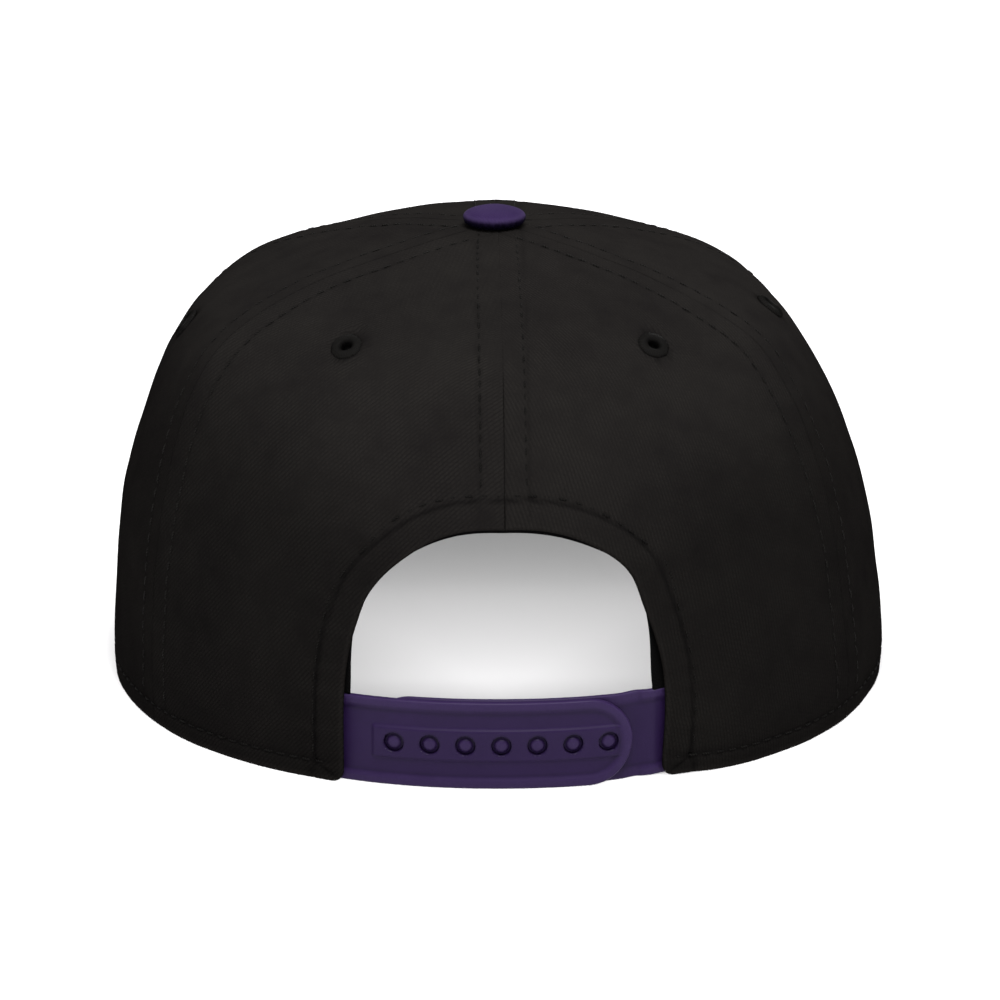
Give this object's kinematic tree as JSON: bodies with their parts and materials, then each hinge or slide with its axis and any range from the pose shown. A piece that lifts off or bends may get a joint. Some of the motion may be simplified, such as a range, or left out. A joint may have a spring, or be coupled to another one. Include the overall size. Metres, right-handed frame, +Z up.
{
  "type": "snapback cap",
  "caption": "Sewn cloth cap with a structured crown, a broad flat brim, an arched opening at the back and a snap strap that sets the head size.",
  "frame": {"origin": "on the surface that the cap rests on, under the middle of its length and width", "axes": "+Z up, +Y forwards over the brim, +X to the wearer's right"},
  "size_m": [0.179, 0.2514, 0.1053],
  "materials": {
    "crown_cloth": "black cotton twill, matt",
    "brim_cloth": "dark purple cotton twill, matt",
    "band_cloth": "black woven tape, matt",
    "strap_plastic": "dark purple moulded plastic, satin",
    "eyelet_thread": "black embroidery thread, slight sheen"
  },
  "bodies": {
    "root": {"panel_front_left": "crown_cloth", "panel_front_right": "crown_cloth", "panel_side_left": "crown_cloth", "panel_side_right": "crown_cloth", "panel_back_left": "crown_cloth", "panel_back_right": "crown_cloth", "brim": "brim_cloth", "top_button": "brim_cloth", "sweatband": "band_cloth", "opening_tape": "band_cloth", "strap_sockets": "strap_plastic", "strap_studs": "strap_plastic", "eyelet_front_left": "eyelet_thread", "eyelet_front_right": "eyelet_thread", "eyelet_side_left": "eyelet_thread", "eyelet_side_right": "eyelet_thread", "eyelet_back_left": "eyelet_thread", "eyelet_back_right": "eyelet_thread"}
  },
  "joints": []
}
